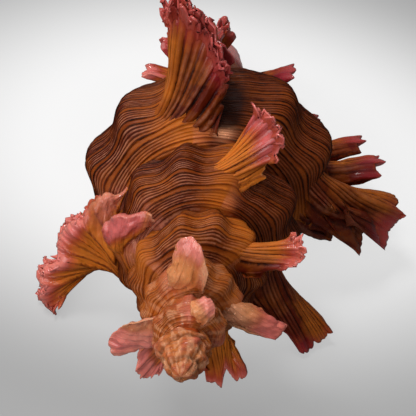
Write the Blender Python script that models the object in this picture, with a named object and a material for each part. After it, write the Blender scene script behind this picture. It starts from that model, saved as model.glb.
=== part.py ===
"""Rose-branch murex: one shell with six whorls, three rows of leafy fronds and a short canal.

Everything is built about the shell's own axis first: +Y runs from the apex to the end of the
canal, and azimuths turn clockwise seen from the apex, with 0 at -X and 90 at +Z. The finished
shell is then tipped onto the two frond tips and the canal end that it lies on, aperture down.
"""

import math

import bpy
import numpy as np
from mathutils import Matrix

MM = 0.001

# Growth: one outline turns about the axis and grows. A turn is 0 at the lip, and negative back
# towards the apex. The size at a turn is exp(rate * turn + slowing * turn squared).
GROWTH_RATE = 0.281
GROWTH_SLOWING = -0.025
LIP_AZIMUTH = 207.0
APEX_TURN = -5.2
EARLY_WIDTH = 0.42

# Outline of the last whorl at the lip: distance from the axis and from the apex, from the buried
# seam over the suture, shoulder, widest line and base to the end of the canal.
OUTLINE = (
    (12.2, 38.5), (14.0, 39.75), (16.4, 41.2), (18.1, 44.3), (18.8, 49.2), (18.1, 55.0),
    (15.6, 60.5), (10.9, 66.0), (7.3, 72.0), (5.7, 78.0), (4.8, 83.5), (3.9, 88.0), (0.6, 90.0),
)
SUTURE_ROW, WIDEST_ROW, BURIED_ROW, CANAL_ROW, END_ROW = 1, 4, 5.7, 9, 12
CANAL_DROP = 2.0
CANAL_DROP_FROM, CANAL_DROP_OVER = 60.0, 30.0
# How much faster than the whorl the base narrows with growth: rows, and powers of the size.
NARROWING_ROWS = (4, 6, 7, 8, 9, 12)
NARROWING = (1, 1.9, 1.9, 1.1, 0.35, 0.35)
NARROWING_LIMIT = 0.45
# The dome over the first whorls: its height, its lift, and how far it tucks into the next whorl.
CAP_HEIGHT, CAP_RAISE, CAP_TUCK = 46.0, 0.3, 0.3

# Varices: the thickened old lips that carry the fronds, and two ribs between each pair.
VARIX_SPACING = 0.3056
LAST_VARIX = -0.030
VARIX_HEIGHT = 2.0
RIB_HEIGHT = 0.6
KNOB_HEIGHT = 1.7
RIB_PLACES = (0.40, 0.68)
RIB_WIDTH = 0.085
DIP_DEPTH, DIP_PLACE, DIP_WIDTH = 0.8, 0.15, 0.06

# The mouth: a pocket under the last third of a turn, behind an outer wall.
WALL = 1.9
POCKET_TURN = -0.40

# Fronds: thickness at the root and at the edge, how deep the root sits in the whorl, how strongly
# they leave the whorl forwards and outwards, and how sharply their root line turns.
FROND_ROOT, FROND_TIP = 2.4, 1.3
FROND_SINK = 0.6
FROND_FORWARD, FROND_OUTWARD = 0.9, 0.3
FROND_TURN = 2.2

# Leafy fronds, as (varix, first row, last row, lead, trail at the suture side, trail at the canal
# side, free edge). Lead and trail are degrees behind and ahead of the varix. Each point of the
# free edge is (place across the frond from -1 to 1, azimuth, distance from axis, from apex).
LEAVES = (
    (0, 1.2, 4.4, 30, 10, 8,
     ((-1, 212, 17.5, 42), (-0.9, 203, 18.6, 43), (-0.82, 205, 22, 44), (-0.74, 199, 21.5, 45),
      (-0.55, 208, 28, 46), (-0.4, 200, 26.5, 46), (-0.2, 205, 31.5, 47), (0, 199, 32, 48),
      (0.2, 194, 33.5, 49), (0.5, 193, 30, 52), (0.75, 198, 26, 54), (1, 205, 20.5, 54))),
    (1, 1.2, 4.4, 24, 18, 12,
     ((-1, 106, 14.6, 37), (-0.8, 101, 18.5, 38), (-0.65, 101, 22.5, 38.5), (-0.45, 97, 26, 39),
      (-0.3, 92, 30, 40), (-0.1, 86, 33, 41), (0.1, 81, 32, 41.5), (0.3, 80, 29.5, 42.5),
      (0.6, 88, 28, 46), (0.8, 94, 24.5, 48), (1, 101, 19.5, 48))),
    (2, 1.2, 4.4, 20, 50, 18,
     ((-1, 389, 12.7, 34), (-0.8, 379, 14.3, 34), (-0.5, 362, 17.5, 34), (-0.33, 356, 19.5, 34),
      (-0.17, 346, 22, 34), (-0.02, 342, 23, 33.5), (0.05, 341, 22, 33), (0.14, 339, 25, 33),
      (0.28, 335, 27, 32.5), (0.42, 329, 28, 32), (0.55, 324, 28.5, 32), (0.65, 326, 26, 33),
      (0.8, 340, 23, 38), (1, 352, 19, 43))),
    (3, 1.4, 4.3, 24, 10, 8,
     ((-1, 236, 16, 30), (-0.8, 232, 20.5, 30), (-0.5, 233, 26.7, 30), (-0.2, 230, 28, 31),
      (0.1, 226, 28.5, 32), (0.4, 223, 28.8, 33), (0.7, 227, 24, 36), (1, 236, 17, 37))),
    (4, 1.9, 4.2, 22, 16, 12,
     ((-1, 133, 13.6, 29.5), (-0.75, 131, 16.0, 29), (-0.45, 128, 19.4, 29.5), (-0.2, 124, 21.3, 30),
      (0.05, 118, 22.6, 31), (0.3, 113, 22.2, 32), (0.6, 117, 18.5, 34), (1, 128, 13.4, 35))),
    (5, 1.2, 4.0, 12, 40, 8,
     ((-1, 62, 8.9, 23), (-0.6, 47, 11.0, 23.5), (-0.2, 33, 13.0, 24.5), (0.3, 18, 13.6, 25.5),
      (0.7, 10, 12.8, 27), (1, 10, 11.6, 29))),
    (6, 1.4, 4.2, 22, 10, 6,
     ((-1, 266, 13, 22), (-0.8, 264, 21, 22), (-0.4, 258, 21.8, 22), (-0.1, 255, 18.5, 22),
      (0.3, 252, 21.7, 22), (0.6, 246, 20.5, 22), (1, 250, 13, 25))),
    (7, 1.2, 4.0, 16, 24, 14,
     ((-1, 171, 9.7, 19), (-0.6, 167, 14, 19), (-0.3, 165, 15.8, 19.5), (0, 159, 16.6, 20),
      (0.3, 154, 16.4, 20.5), (0.6, 153, 15, 21.5), (1, 165, 10.5, 24))),
    (8, 1.2, 3.8, 10, 50, 5,
     ((-1, 92, 7.3, 17), (-0.5, 80, 8.6, 18), (0, 62, 9.2, 19), (1, 40, 8.5, 20.5))),
    (9, 1.4, 4.0, 16, 12, 8,
     ((-1, 300, 8, 14), (-0.5, 296, 14.6, 14.5), (0, 290, 16, 15), (0.5, 287, 14.2, 15.5),
      (1, 296, 9, 17))),
    (10, 1.2, 4.0, 12, 22, 18,
     ((-1, 196, 6.6, 12), (-0.5, 200, 12.8, 13), (0.2, 190, 13.8, 14), (0.6, 188, 11, 14.5),
      (1, 196, 7.6, 16))),
    (11, 1.2, 3.8, 8, 66, 20,
     ((-1, 136, 6.5, 9.5), (-0.8, 103, 9.6, 11), (-0.6, 98, 11.4, 12), (-0.2, 91, 12.2, 13),
      (0.2, 84, 11.8, 13.5), (0.55, 78, 10.8, 13.5), (0.8, 80, 8.5, 14), (1, 92, 6.6, 15))),
    (12, 1.4, 4.0, 12, 40, 14,
     ((-1, 360, 5.5, 9), (-0.5, 350, 10, 10), (0, 340, 11, 10), (0.5, 330, 11, 10.3),
      (1, 336, 6, 11.5))),
)

# Smaller fronds down the base and canal, as (varix, middle row, azimuth, distance from axis and
# from apex of the tip, width).
BRANCHES = (
    (0, 4.9, 184, 28.5, 55.5, 6.0), (0, 5.8, 185, 25.8, 62.0, 5.0), (0, 7.3, 190, 19.0, 70.0, 4.5),
    (0, 9.4, 174, 14.3, 79.0, 5.5),
    (1, 4.9, 73, 22.3, 49.5, 4.5),
    (1, 5.0, 96, 23.6, 48.5, 8.0), (1, 6.2, 95, 19.8, 60.0, 5.0), (1, 7.6, 92, 14.0, 69.0, 4.0),
    (2, 5.0, 323, 22.0, 46.5, 7.0), (2, 6.2, 329, 19.0, 58.0, 5.0), (2, 7.6, 340, 14.0, 68.0, 4.0),
    (2, 9.4, 362, 12.5, 77.0, 4.0),
    (3, 5.4, 236, 17.0, 45.0, 5.0),
)
BRANCH_ROWS, BRANCH_LEAD, BRANCH_TRAIL = 0.45, 14, 4

# How it lies: the canal end drops and the shell leans until it rests on three points.
PITCH = -15.1
ROLL = -6.2

VOXEL = 0.5 * MM
KEEP_TRIANGLES = 9000


def growth(turn):
    return np.exp(GROWTH_RATE * turn + GROWTH_SLOWING * turn * turn)


def ease(low, high, value):
    share = np.clip((value - low) / (high - low), 0, 1)
    return share * share * (3 - 2 * share)


def bump(value, width):
    return np.exp(-((value / width) ** 2))


def outline(row):
    """The outline at any row, as a smooth curve (Catmull-Rom) through its points."""
    points = np.array(OUTLINE)
    row = np.clip(row, 0, len(points) - 1.0001)
    index = row.astype(int)
    share = (row - index)[..., None]
    before, here, after, beyond = (
        points[np.clip(index + step, 0, len(points) - 1)] for step in (-1, 0, 1, 2)
    )
    return 0.5 * (
        2 * here
        + (after - before) * share
        + (2 * before - 5 * here + 4 * after - beyond) * share**2
        + (3 * here - before - 3 * after + beyond) * share**3
    )


def swelling(turn, row):
    """Height of the ribs, knobs and varix ridges above the plain whorl, at full size."""
    since = 1 - np.mod(-(turn - LAST_VARIX) / VARIX_SPACING, 1.0)
    across = ease(1.0, 2.8, row) * (1 - ease(5.2, 8.0, row))
    knobs = ease(1.6, 3.3, row) * (1 - ease(3.9, 5.8, row))
    ribs = sum(bump(since - place, RIB_WIDTH) for place in RIB_PLACES)
    ridge = ease(0.80, 1.0, since) + 1 - ease(0.0, 0.10, since)
    dip = bump(since - DIP_PLACE, DIP_WIDTH)
    folds = RIB_HEIGHT * ribs + VARIX_HEIGHT * ridge - DIP_DEPTH * dip
    return knobs * KNOB_HEIGHT * ribs + across * folds


def around(azimuth, radius, height):
    """A point from its azimuth in degrees and its distances from the axis and from the apex."""
    angle = np.radians(azimuth)
    parts = np.broadcast_arrays(-radius * np.cos(angle), height, radius * np.sin(angle))
    return np.stack(parts, -1)


def whorl(turn, row, thickness=0.0, closing=0.0, relief=1.0):
    """Points of the whorl's surface, or of its inside at some thickness below the surface."""
    turn, row = np.broadcast_arrays(np.asarray(turn, float), np.asarray(row, float))
    size = growth(turn)
    radius, height = np.moveaxis(outline(row), -1, 0)
    base = np.clip((row - WIDEST_ROW) / (CANAL_ROW - WIDEST_ROW), 0, 1)
    narrowing = np.interp(row, NARROWING_ROWS, NARROWING)
    step_in = OUTLINE[WIDEST_ROW][0] * growth(turn - 1) - OUTLINE[SUTURE_ROW][0] * size
    tuck = np.minimum(0, step_in) * (1 - ease(1.0, 2.6, row))
    radius *= 1 + EARLY_WIDTH * ease(-2.5, APEX_TURN, turn)
    radius = radius * size * np.maximum(size, NARROWING_LIMIT) ** (narrowing - 1)
    radius = radius + relief * size * swelling(turn, row) + tuck
    radius = np.maximum(radius - thickness, 0) * (1 - closing)
    height = height * size ** (1 - 0.9 * base)
    points = around(LIP_AZIMUTH + 360 * turn, radius, height)
    points[..., 2] -= CANAL_DROP * np.clip((height - CANAL_DROP_FROM) / CANAL_DROP_OVER, 0, 2) ** 2
    return points


def unit(vectors):
    return vectors / np.maximum(np.linalg.norm(vectors, axis=-1, keepdims=True), 1e-9)


def three_lobes(azimuth, radius, height, width):
    """A small palmate frond's free edge: three short lobes between two drawn-back margins."""
    half = width / 2
    return (
        (-1, azimuth + 10, radius * 0.80, height - half), (-0.6, azimuth + 2, radius, height - half),
        (-0.3, azimuth, radius * 0.95, height - half / 2), (0, azimuth, radius * 1.02, height),
        (0.3, azimuth, radius * 0.95, height + half / 2), (0.6, azimuth + 2, radius, height + half),
        (1, azimuth + 10, radius * 0.80, height + half),
    )


def frond(varix, first_row, last_row, lead, trail_suture, trail_canal, edge, across=41, along=15):
    """A curved sheet from a line of roots on the whorl to the free edge, closed by its front.

    Each of its lines leaves the whorl in the direction of growth and bends outwards, as a cubic
    curve (Hermite) between the root and the edge.
    """
    place = np.linspace(-1, 1, across)[:, None]
    share = np.linspace(0, 1, along)[None, :, None]
    ridge = LAST_VARIX - VARIX_SPACING * varix
    row = first_row + (place + 1) / 2 * (last_row - first_row)
    trail = np.where(place < 0, trail_suture, trail_canal)
    turn = ridge + (-lead + (lead + trail) * np.abs(place) ** FROND_TURN) / 360
    azimuth = LIP_AZIMUTH + 360 * turn
    outward = around(azimuth, np.ones_like(azimuth), 0.0)
    forward = around(azimuth + 90, np.ones_like(azimuth), 0.0)
    root = whorl(turn, row, relief=0.6) - outward * FROND_SINK
    points = np.array(edge, float)
    tip = around(*(np.interp(place, points[:, 0], points[:, column]) for column in (1, 2, 3)))
    reach = np.linalg.norm(tip - root, axis=-1, keepdims=True)
    leave = (FROND_FORWARD * forward + FROND_OUTWARD * outward) * reach
    arrive = tip - root
    sheet = (
        (2 * share**3 - 3 * share**2 + 1) * root
        + (share**3 - 2 * share**2 + share) * leave
        + (3 * share**2 - 2 * share**3) * tip
        + (share**3 - share**2) * arrive
    )
    normal = unit(np.cross(np.gradient(sheet, axis=0), np.gradient(sheet, axis=1)))
    facing = np.sign(np.sum(normal[across // 2, along // 2] * forward[across // 2, 0]))
    thickness = (FROND_ROOT + (FROND_TIP - FROND_ROOT) * share) * min(1.0, 1.2 * growth(ridge) + 0.2)
    return sheet, sheet + facing * normal * thickness


def closed_slab(front, back):
    """Points and faces of the closed body between two grids of the same size."""
    rows, columns = front.shape[:2]
    index = np.arange(rows * columns).reshape(rows, columns)

    def quads(grid):
        return np.stack([grid[:-1, :-1], grid[1:, :-1], grid[1:, 1:], grid[:-1, 1:]], -1).reshape(-1, 4)

    rim = np.concatenate([index[:, 0], index[-1, 1:], index[-2::-1, -1], index[0, -2:0:-1]])
    onward = np.roll(rim, -1)
    other = index + rows * columns
    side = np.stack([rim, rim + rows * columns, onward + rows * columns, onward], -1)
    faces = np.concatenate([quads(index), quads(other)[:, ::-1], side])
    return np.concatenate([front.reshape(-1, 3), back.reshape(-1, 3)]), faces


def axis_line(surface):
    """The surface's points brought to the middle of the shell."""
    middle = surface.copy()
    middle[..., 0] = 0.0
    middle[..., 2] = 0.0
    return middle


def solid_whorl(first_turn, last_turn, last_row, steps):
    """A stretch of whorl, filled from its surface to the axis."""
    turn = np.linspace(first_turn, last_turn, steps)[:, None]
    row = np.linspace(0, last_row, 60)[None, :]
    surface = whorl(turn, row)
    return closed_slab(surface, axis_line(surface))


def outer_wall():
    """The wall over the mouth's pocket: it thickens until it closes the pocket at the back, at
    the suture and along the canal."""
    turn = np.linspace(POCKET_TURN - 0.03, 0, 60)[:, None]
    row = np.linspace(0, END_ROW, 80)[None, :]
    closing = 1 - (
        ease(POCKET_TURN, POCKET_TURN + 0.15, turn) * ease(0.9, 2.0, row) * (1 - ease(7.6, 9.0, row))
    )
    return closed_slab(whorl(turn, row), whorl(turn, row, thickness=WALL, closing=closing))


def apex_cap():
    """The blunt first whorls, as a small dome."""
    around_steps = np.linspace(0, 360, 25)[:-1]
    up_steps = np.linspace(-CAP_TUCK, 1, 12)
    size = growth(APEX_TURN)
    width = np.sqrt(1 - np.abs(up_steps) ** 1.4) - 0.35 * ease(0, CAP_TUCK, -up_steps)
    radius = OUTLINE[WIDEST_ROW][0] * (1 + EARLY_WIDTH) * size * width + 0.05
    height = CAP_HEIGHT * size * (1 - up_steps) + CAP_RAISE
    front = around(around_steps[:, None], radius[None, :], height[None, :])
    front = np.concatenate([front, front[:1]])
    return closed_slab(front, axis_line(front))


def shell_mesh():
    """All pieces of the one shell in a single mesh, ready to be fused."""
    pieces = [
        solid_whorl(APEX_TURN, -0.97, BURIED_ROW, 480),
        solid_whorl(-1.45, -0.98, END_ROW, 60),
        solid_whorl(-1.0, POCKET_TURN, END_ROW, 90),
        outer_wall(),
        apex_cap(),
    ]
    pieces += [closed_slab(*frond(*leaf)) for leaf in LEAVES]
    for varix, middle, *tip in BRANCHES:
        sheet = frond(
            varix, middle - BRANCH_ROWS, middle + BRANCH_ROWS, BRANCH_LEAD, BRANCH_TRAIL,
            BRANCH_TRAIL, three_lobes(*tip), across=13,
        )
        pieces.append(closed_slab(*sheet))
    points, faces, count = [], [], 0
    for piece_points, piece_faces in pieces:
        points.append(piece_points * MM)
        faces.append(piece_faces + count)
        count += len(piece_points)
    mesh = bpy.data.meshes.new("pieces")
    mesh.from_pydata(np.concatenate(points), [], np.concatenate(faces).tolist())
    return mesh


def shell_material():
    material = bpy.data.materials.new("shell")
    material.use_nodes = True
    surface = material.node_tree.nodes["Principled BSDF"]
    surface.inputs["Base Color"].default_value = (0.26, 0.08, 0.015, 1.0)
    surface.inputs["Roughness"].default_value = 0.45
    return material


def lay_down(mesh):
    """Tips the shell onto its resting points, stands it on Z = 0 and centres it on the origin."""
    lean = Matrix.Rotation(math.radians(ROLL), 4, "Y")
    mesh.transform(lean @ Matrix.Rotation(math.radians(PITCH), 4, "X"))
    points = np.empty(len(mesh.vertices) * 3, np.float32)
    mesh.vertices.foreach_get("co", points)
    points = points.reshape(-1, 3)
    low, high = points.min(axis=0), points.max(axis=0)
    middle = (low + high) / 2
    mesh.transform(Matrix.Translation((-middle[0], -middle[1], -low[2])))


def fused(pieces):
    """One closed surface around all the pieces, thinned out to its budget of triangles."""
    draft = bpy.data.objects.new("draft", pieces)
    bpy.context.collection.objects.link(draft)
    wrap = draft.modifiers.new("wrap", "REMESH")
    wrap.mode = "VOXEL"
    wrap.voxel_size = VOXEL
    bpy.context.view_layer.update()
    wrapped = draft.evaluated_get(bpy.context.evaluated_depsgraph_get())
    thin = draft.modifiers.new("thin", "DECIMATE")
    thin.ratio = KEEP_TRIANGLES / (2 * len(wrapped.data.polygons))
    bpy.context.view_layer.update()
    thinned = draft.evaluated_get(bpy.context.evaluated_depsgraph_get())
    mesh = bpy.data.meshes.new_from_object(thinned)
    bpy.data.objects.remove(draft)
    return mesh


def main():
    for item in list(bpy.data.objects):
        bpy.data.objects.remove(item)
    mesh = fused(shell_mesh())
    mesh.name = "shell"
    mesh.materials.append(shell_material())
    mesh.shade_smooth()
    lay_down(mesh)
    shell = bpy.data.objects.new("shell", mesh)
    bpy.context.collection.objects.link(shell)


main()
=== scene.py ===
"""Rose-branch murex shell: corded whorls, frilled fronds and open mouth, lying on a pale floor.

Everything is worked out in millimetres about the shell's own axis: +Y runs from the apex to the
end of the canal, and azimuths turn clockwise seen from the apex, with 0 at -X and 90 at +Z. One
outline turns about the axis and grows. A turn is 0 at the lip and negative back towards the apex,
and a row runs over the outline from the buried seam to the end of the canal. at_rest() then tips
the finished points onto the surface that the shell lies on.
"""

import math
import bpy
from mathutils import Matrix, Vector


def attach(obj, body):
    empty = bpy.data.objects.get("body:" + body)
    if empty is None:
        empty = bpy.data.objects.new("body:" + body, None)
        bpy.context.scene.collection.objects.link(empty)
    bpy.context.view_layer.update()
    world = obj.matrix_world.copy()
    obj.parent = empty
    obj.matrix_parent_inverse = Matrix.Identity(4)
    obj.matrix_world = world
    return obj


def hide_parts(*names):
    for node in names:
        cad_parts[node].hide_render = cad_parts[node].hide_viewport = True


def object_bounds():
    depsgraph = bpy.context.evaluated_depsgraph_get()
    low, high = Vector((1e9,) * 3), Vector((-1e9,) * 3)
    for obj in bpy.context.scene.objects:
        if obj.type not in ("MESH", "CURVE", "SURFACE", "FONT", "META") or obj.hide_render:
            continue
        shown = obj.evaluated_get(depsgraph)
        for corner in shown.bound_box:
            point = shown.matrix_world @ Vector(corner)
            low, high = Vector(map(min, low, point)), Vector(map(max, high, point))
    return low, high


bl_info = {
    "name": "Rose-branch murex shell",
    "version": (1, 0, 0),
    "blender": (4, 5, 0),
    "location": "3D View > Sidebar > Murex",
    "description": "Builds a murex shell with corded whorls and frilled fronds, and its stage",
    "category": "Add Mesh",
}

from collections import namedtuple
from types import SimpleNamespace

import bpy
import numpy as np
from bpy.props import FloatProperty, FloatVectorProperty, PointerProperty
from bpy.types import Operator, Panel, PropertyGroup
from mathutils import Vector

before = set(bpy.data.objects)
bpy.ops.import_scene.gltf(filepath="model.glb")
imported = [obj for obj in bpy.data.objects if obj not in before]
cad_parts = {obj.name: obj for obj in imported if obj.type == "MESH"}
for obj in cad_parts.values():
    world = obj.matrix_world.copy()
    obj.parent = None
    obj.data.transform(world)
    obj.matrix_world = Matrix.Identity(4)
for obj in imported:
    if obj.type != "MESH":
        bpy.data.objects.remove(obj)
SOLID_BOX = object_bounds()

MM = 0.001

# Growth of the outline with the turn, and where the lip and the apex stand. The first whorls are
# wider than the growth alone would make them.
GROWTH_RATE = 0.281
GROWTH_SLOWING = -0.025
LIP_AZIMUTH = 207.0
APEX_TURN = -5.2
EARLY_WIDTH, EARLY_WIDTH_TURN = 0.42, -2.5

# Outline of the last whorl at the lip: distance from the axis and from the apex.
OUTLINE = (
    (12.2, 38.5), (14.0, 39.75), (16.4, 41.2), (18.1, 44.3), (18.8, 49.2), (18.1, 55.0),
    (15.6, 60.5), (10.9, 66.0), (7.3, 72.0), (5.7, 78.0), (4.8, 83.5), (3.9, 88.0), (0.6, 90.0),
)
OUTLINE_STEPS = 1500
SUTURE_ROW, WIDEST_ROW, BURIED_ROW, CANAL_ROW, END_ROW = 1, 4, 5.7, 9, 12

# The canal bends down towards its end. On earlier turns the base is narrower than the growth
# alone would make it: the growth is raised to these powers at these rows.
CANAL_DROP = 2.0
CANAL_DROP_FROM, CANAL_DROP_OVER = 60.0, 30.0
NARROWING_ROWS = (4, 6, 7, 8, 9, 12)
NARROWING = (1, 1.9, 1.9, 1.1, 0.35, 0.35)
NARROWING_LIMIT = 0.45

# The dome of the first whorls: its height before the growth scales it, its distance from the apex
# in millimetres, and the share of its height by which it also runs down inside the next whorl.
CAP_HEIGHT, CAP_START, CAP_TUCK = 46.0, 0.3, 0.3

# Varices carry the fronds, with two ribs between each pair. Just after each varix the surface dips.
VARIX_SPACING = 0.3056
LAST_VARIX = -0.030
VARIX_HEIGHT = 2.0
RIB_HEIGHT = 0.6
KNOB_HEIGHT = 1.7
RIB_PLACES = (0.40, 0.68)
RIB_WIDTH = 0.085
DIP_DEPTH, DIP_PLACE, DIP_WIDTH = 0.8, 0.15, 0.06

# The mouth is a pocket under the last stretch of the whorl, with teeth just inside the lip. The
# pillar beside it is the part of the whorl that the mouth leaves bare.
WALL = 1.9
POCKET_TURN, POCKET_OPENING = -0.40, 0.15
TOOTH_HEIGHT, TOOTH_TURN, TEETH_PER_ROW = 0.35, -0.03, 2.5
PILLAR_TURNS, PILLAR_ROW = (-1.46, -0.97), 2.5

# Cords come in sets: four narrow ones and a broad one. The grooves beside the broad cords are the
# deepest, and the rest differ in depth. The cords fade out where the canal begins.
SET_SIZE, NARROW_CORDS, BROAD_CORD = 6.0, 4.0, 2.0
SHALLOWEST, DEEPEST = 0.25, 0.85
GROOVES = 300
GROOVE_WIDTH = 0.19
CORD_WANDER = 0.35
FADING_ROW, CORDS_END_ROW = 6.5, 7.5
CANAL_SAMPLES = 90

# How many units of the grain's pattern lie in a turn of the whorl, along a frond, and in a turn
# of the mouth.
GROWTH_LINES, FROND_LINES, MOUTH_LINES = 120, 25, 100

# Unevenness of the whorls at full size: all over, and on the early whorls, which crumble.
UNEVEN, CRUMBLE = 0.06, 0.26

# From this varix back, the cords are broader for the size of the whorl, and the fronds chalkier.
EARLY_VARIX = 7
EARLY_CORDS = 1.8

# The stretches of whorl, as (name, first turn, last turn, last row, varix whose cords they have,
# points along, points across). The last two run a little way into the next.
EARLY_TURN = LAST_VARIX - VARIX_SPACING * EARLY_VARIX
STRETCHES = (
    ("last_whorl_back", -1.0, -0.5, END_ROW, 0, 140, 420),
    ("last_whorl_front", -0.5, 0.0, END_ROW, 0, 140, 420),
    ("second_whorl", EARLY_TURN, -0.985, BURIED_ROW, 0, 245, 320),
    ("spire", APEX_TURN, EARLY_TURN + 0.008, BURIED_ROW, EARLY_VARIX, 370, 160),
)

# How dark the whorls are, as (turn, share), partly their own brown and partly painted shade,
# most on the right of the second whorl and just after varix 1; and the varices with pink crust
# at the suture.
DARK_BY_TURN = (
    (-5.6, 0.0), (-3.2, 0.3), (-2.3, 0.75), (-1.9, 0.9), (-1.5, 0.95), (-1.38, 0.8), (-1.25, 1.2),
    (-0.9, 0.9), (-0.52, 0.9), (-0.43, 0.55), (-0.34, 0.8), (-0.28, 1.4),
)
CRUSTED_VARICES = (2, 5)

# A frond's roots lie this deep in the whorl, and curve by this power from its middle to its ends.
# Its lines leave the whorl in these shares of forward and outward.
FROND_SINK = 0.6
FROND_BEND = 2.2
FROND_FORWARD, FROND_OUTWARD = 0.9, 0.3

# Relief of a large frond: its grain, the lumps and crumbs of the smooth ones, how plump those are
# as a share of their thickness, and the grooves of the rest.
FROND_GRAIN, FROND_LUMPS, FROND_CRUMBS, FROND_PLUMPNESS, FROND_GROOVE = 0.10, 0.55, 0.14, 0.7, 0.34

# Leafy fronds, as (varix, first row, last row, lead, trail at the suture side, trail at the canal
# side, where its pink starts, layers of frill, free edge). Lead and trail are degrees behind and
# ahead of the varix. The pink starts at a share of the way from root to edge. Each point of the
# free edge is (place from -1 at the suture side to 1 at the canal side, azimuth, distance from
# the axis, distance from the apex).
LEAVES = (
    (0, 1.2, 4.4, 30, 10, 8, 0.70, 0,
     ((-1, 212, 17.5, 42), (-0.9, 200, 18.6, 43), (-0.82, 207, 23, 44), (-0.72, 192, 21.5, 45),
      (-0.58, 209, 29, 46), (-0.4, 193, 26.5, 46), (-0.2, 205, 32, 47), (0, 199, 32, 48),
      (0.2, 194, 33.5, 49), (0.5, 193, 30.5, 52), (0.75, 198, 26, 54), (1, 205, 20.5, 54))),
    (1, 1.2, 4.4, 24, 18, 12, 0.64, 4,
     ((-1, 106, 14.6, 37), (-0.8, 101, 18.5, 38), (-0.65, 101, 22.5, 38.5), (-0.45, 97, 26, 39),
      (-0.3, 92, 30, 40), (-0.1, 86, 33, 41), (0.1, 82.5, 32, 41.5), (0.3, 82, 29.5, 42.5),
      (0.6, 89, 28, 46), (0.8, 94, 24.5, 48), (1, 101, 19.5, 48))),
    (2, 1.2, 4.4, 20, 50, 18, 0.66, 2,
     ((-1, 389, 12.7, 34), (-0.8, 379, 14.3, 34), (-0.5, 362, 17.5, 34), (-0.33, 356, 19.5, 34),
      (-0.17, 346, 22, 34), (-0.02, 342, 23, 33.5), (0.05, 341, 22, 33), (0.14, 339, 25, 33),
      (0.28, 335, 27, 32.5), (0.42, 329, 28, 32), (0.55, 324, 28.5, 32), (0.65, 326, 26, 33),
      (0.8, 340, 23, 38), (1, 352, 19, 43))),
    (3, 1.4, 4.3, 24, 10, 8, 0.78, 0,
     ((-1, 236, 16, 30), (-0.8, 232, 20.5, 30), (-0.5, 233, 26.7, 30), (-0.2, 230, 28, 31),
      (0.1, 226, 28.5, 32), (0.4, 223, 28.8, 33), (0.7, 227, 24, 36), (1, 236, 17, 37))),
    (4, 1.9, 4.2, 22, 16, 12, 0.52, 2,
     ((-1, 133, 13.2, 30.5), (-0.75, 130, 15.2, 30), (-0.45, 127, 19.0, 30), (-0.2, 124, 21.3, 30),
      (0.05, 118, 22.6, 31), (0.3, 113, 22.2, 32), (0.6, 117, 18.5, 34), (1, 128, 13.4, 35))),
    (5, 1.2, 4.0, 12, 40, 8, 0.34, 0,
     ((-1, 62, 8.9, 23), (-0.6, 47, 11.0, 23.5), (-0.2, 33, 13.0, 24.5), (0.3, 18, 13.6, 25.5),
      (0.7, 10, 12.8, 27), (1, 10, 11.6, 29))),
    (6, 1.4, 4.2, 22, 10, 6, 0.70, 0,
     ((-1, 266, 13, 22), (-0.8, 264, 21, 22), (-0.4, 258, 21.8, 22), (-0.1, 255, 18.5, 22),
      (0.3, 252, 21.7, 22), (0.6, 246, 20.5, 22), (1, 250, 13, 25))),
    (7, 1.3, 3.9, 14, 20, 14, 0.62, 1,
     ((-1, 170, 9.9, 19.3), (-0.6, 166, 14.0, 19.3), (-0.3, 164, 15.8, 19.7), (0, 159, 16.7, 20.2),
      (0.3, 155, 16.5, 20.6), (0.6, 155, 15.0, 21.4), (1, 165, 10.4, 23.5))),
    (9, 1.2, 4.4, 16, 24, 8, 0.50, 0,
     ((-1, 312, 8, 13), (-0.5, 303, 13.8, 14), (0, 294, 16, 15), (0.5, 287, 14.6, 15.5),
      (1, 294, 9, 17))),
    (10, 1.2, 4.0, 12, 22, 18, 0.35, 0,
     ((-1, 196, 6.6, 12), (-0.5, 200, 12.8, 13), (0.2, 190, 13.8, 14), (0.6, 188, 11, 14.5),
      (1, 196, 7.6, 16))),
    (11, 1.7, 3.5, 8, 52, 16, 0.52, 0,
     ((-1, 124, 6.6, 10.5), (-0.8, 105, 9.6, 11.4), (-0.6, 99, 11.6, 12.2), (-0.2, 92, 12.4, 13),
      (0.2, 86, 12.0, 13.3), (0.55, 81, 10.9, 13.3), (0.8, 83, 8.7, 13.7), (1, 92, 6.8, 14.5))),
    (12, 0.9, 4.8, 12, 76, 18, -0.05, 0,
     ((-1, 380, 5.6, 8.2), (-0.7, 362, 8.2, 9.2), (-0.4, 350, 10.0, 9.8), (0, 340, 11.2, 10),
      (0.5, 328, 11.5, 10.4), (1, 334, 6.2, 12))),
    (14, 1.5, 4.2, 2, 46, 14, 0.45, 0,
     ((-1, 142, 5.0, 7.4), (-0.6, 129, 6.3, 8.2), (0, 119, 6.8, 8.9), (0.6, 111, 6.3, 9.5),
      (1, 106, 5.0, 10.0))),
)

# Smaller fronds down the base and canal, as (varix, middle row, then the tip's azimuth, distance
# from the axis, distance from the apex and width).
BRANCHES = (
    (0, 4.9, 184, 28.5, 55.5, 6.0), (0, 5.8, 185, 25.8, 62.0, 5.0), (0, 7.3, 190, 19.0, 70.0, 4.5),
    (0, 9.4, 174, 14.3, 79.0, 5.5),
    (1, 4.9, 73, 22.3, 49.5, 4.5),
    (1, 5.0, 96, 23.6, 48.5, 8.0), (1, 6.2, 95, 19.8, 60.0, 5.0), (1, 7.6, 92, 14.0, 69.0, 4.0),
    (2, 5.0, 323, 22.0, 46.5, 7.0), (2, 6.2, 329, 19.0, 58.0, 5.0), (2, 7.6, 340, 14.0, 68.0, 4.0),
    (2, 9.4, 362, 12.5, 77.0, 4.0),
    (3, 5.4, 236, 17.0, 45.0, 5.0),
)
BRANCH_ROWS, BRANCH_LEAD, BRANCH_TRAIL = 0.45, 14, 4
BRANCH_PINK, BRANCH_SIZE, BRANCH_SAMPLES = 0.55, 0.5, (60, 26)
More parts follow.
